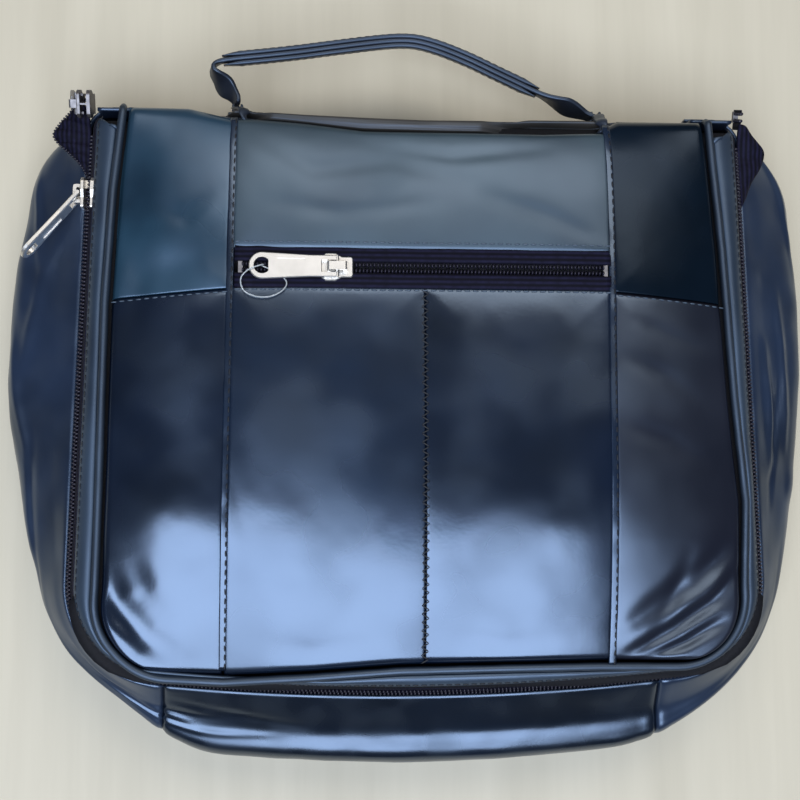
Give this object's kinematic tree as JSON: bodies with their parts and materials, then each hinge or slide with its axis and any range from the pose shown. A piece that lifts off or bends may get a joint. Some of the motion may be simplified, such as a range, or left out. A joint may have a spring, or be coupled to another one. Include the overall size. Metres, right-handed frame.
{
  "type": "toiletry bag",
  "caption": "Patchwork leather toiletry bag with a zip-round lid, a zipped front pocket and a carrying handle.",
  "frame": {"origin": "Middle of the back panel's width, on the face that the bag lies on, midway down the lid.", "axes": "+Z points out of the lid, +Y towards the handle and the lid's fold, +X across to the right."},
  "size_m": [0.3102, 0.2797, 0.0743],
  "materials": {
    "panel_leather": "smooth semi-gloss",
    "top_leather": "smooth semi-gloss",
    "piping_leather": "smooth semi-gloss",
    "strap_leather": "smooth semi-gloss",
    "board": "plain sheet",
    "lining": "woven",
    "foam": "open-cell foam",
    "zip_tape": "woven tape",
    "zip_coil": "moulded coil",
    "nickel": "plated die casting",
    "clear_filament": "clear"
  },
  "bodies": {
    "root": {"back_panel": "panel_leather", "back_piping": "piping_leather", "back_stiffener": "board", "floor_lining": "lining", "left_gusset": "panel_leather", "right_gusset": "panel_leather", "bottom_gusset": "panel_leather", "top_panel": "top_leather", "left_lining": "lining", "right_lining": "lining", "bottom_lining": "lining", "top_lining": "lining", "corner_tab_left": "top_leather", "corner_tab_right": "top_leather", "body_zip_tape": "zip_tape", "body_zip_coil": "zip_coil", "zip_tail_left": "zip_tape", "zip_tail_right": "zip_tape", "main_zip_stops": "zip_coil", "end_slider": "nickel", "fold_strip": "top_leather", "handle_tab_left": "strap_leather", "handle_tab_right": "strap_leather"},
    "lid": {"lid_center_top": "top_leather", "lid_center_left": "panel_leather", "lid_center_right": "panel_leather", "lid_left_upper": "panel_leather", "lid_left_lower": "panel_leather", "lid_right_upper": "panel_leather", "lid_right_lower": "panel_leather", "seam_strip_left": "piping_leather", "seam_strip_right": "piping_leather", "lid_piping": "piping_leather", "lid_side_band": "panel_leather", "lid_zip_tape": "zip_tape", "lid_zip_coil": "zip_coil", "lid_lining": "lining", "lid_foam": "foam", "pocket_bag": "lining", "pocket_tape_upper": "zip_tape", "pocket_tape_lower": "zip_tape", "pocket_coil_upper": "zip_coil", "pocket_coil_lower": "zip_coil", "pocket_zip_stops": "zip_coil"},
    "handle": {"handle_strap": "strap_leather", "handle_pad_outer": "strap_leather", "handle_pad_inner": "strap_leather"},
    "main_slider": {"main_slider": "nickel"},
    "main_pull": {"main_pull": "nickel"},
    "end_pull": {"end_pull": "nickel"},
    "pocket_slider": {"pocket_slider": "nickel"},
    "pocket_pull": {"pocket_pull": "nickel", "tag_loop": "clear_filament"}
  },
  "joints": [
    {"name": "lid_hinge", "type": "hinge", "parent": "root", "child": "lid", "pos_m": [0, 0.1028, 0.0605], "axis": [-1, 0, 0], "range_deg": [0, 180]},
    {"name": "handle_swing", "type": "hinge", "parent": "root", "child": "handle", "pos_m": [0, 0.111, 0.042], "axis": [-1, 0, 0], "range_deg": [-50, 50]},
    {"name": "main_slider_slide", "type": "slide", "parent": "root", "child": "main_slider", "axis": [0.0268, 0.9996, 0], "range_m": [-0.135, 0.011]},
    {"name": "main_pull_swing", "type": "hinge", "parent": "main_slider", "child": "main_pull", "pos_m": [-0.12686, 0.07259, 0.05], "axis": [0, 0, 1], "range_deg": [-108, 30]},
    {"name": "end_pull_swing", "type": "hinge", "parent": "root", "child": "end_pull", "pos_m": [-0.12806, 0.106, 0.0535], "axis": [0, -0.9397, -0.342], "range_deg": [-136, 5]},
    {"name": "pocket_slider_slide", "type": "slide", "parent": "lid", "child": "pocket_slider", "axis": [1, 0, 0], "range_m": [-0.026, 0.082]},
    {"name": "pocket_pull_swing", "type": "hinge", "parent": "pocket_slider", "child": "pocket_pull", "pos_m": [-0.0316, 0.042, 0.0722], "axis": [0, 1, 0], "range_deg": [0, 170]}
  ]
}
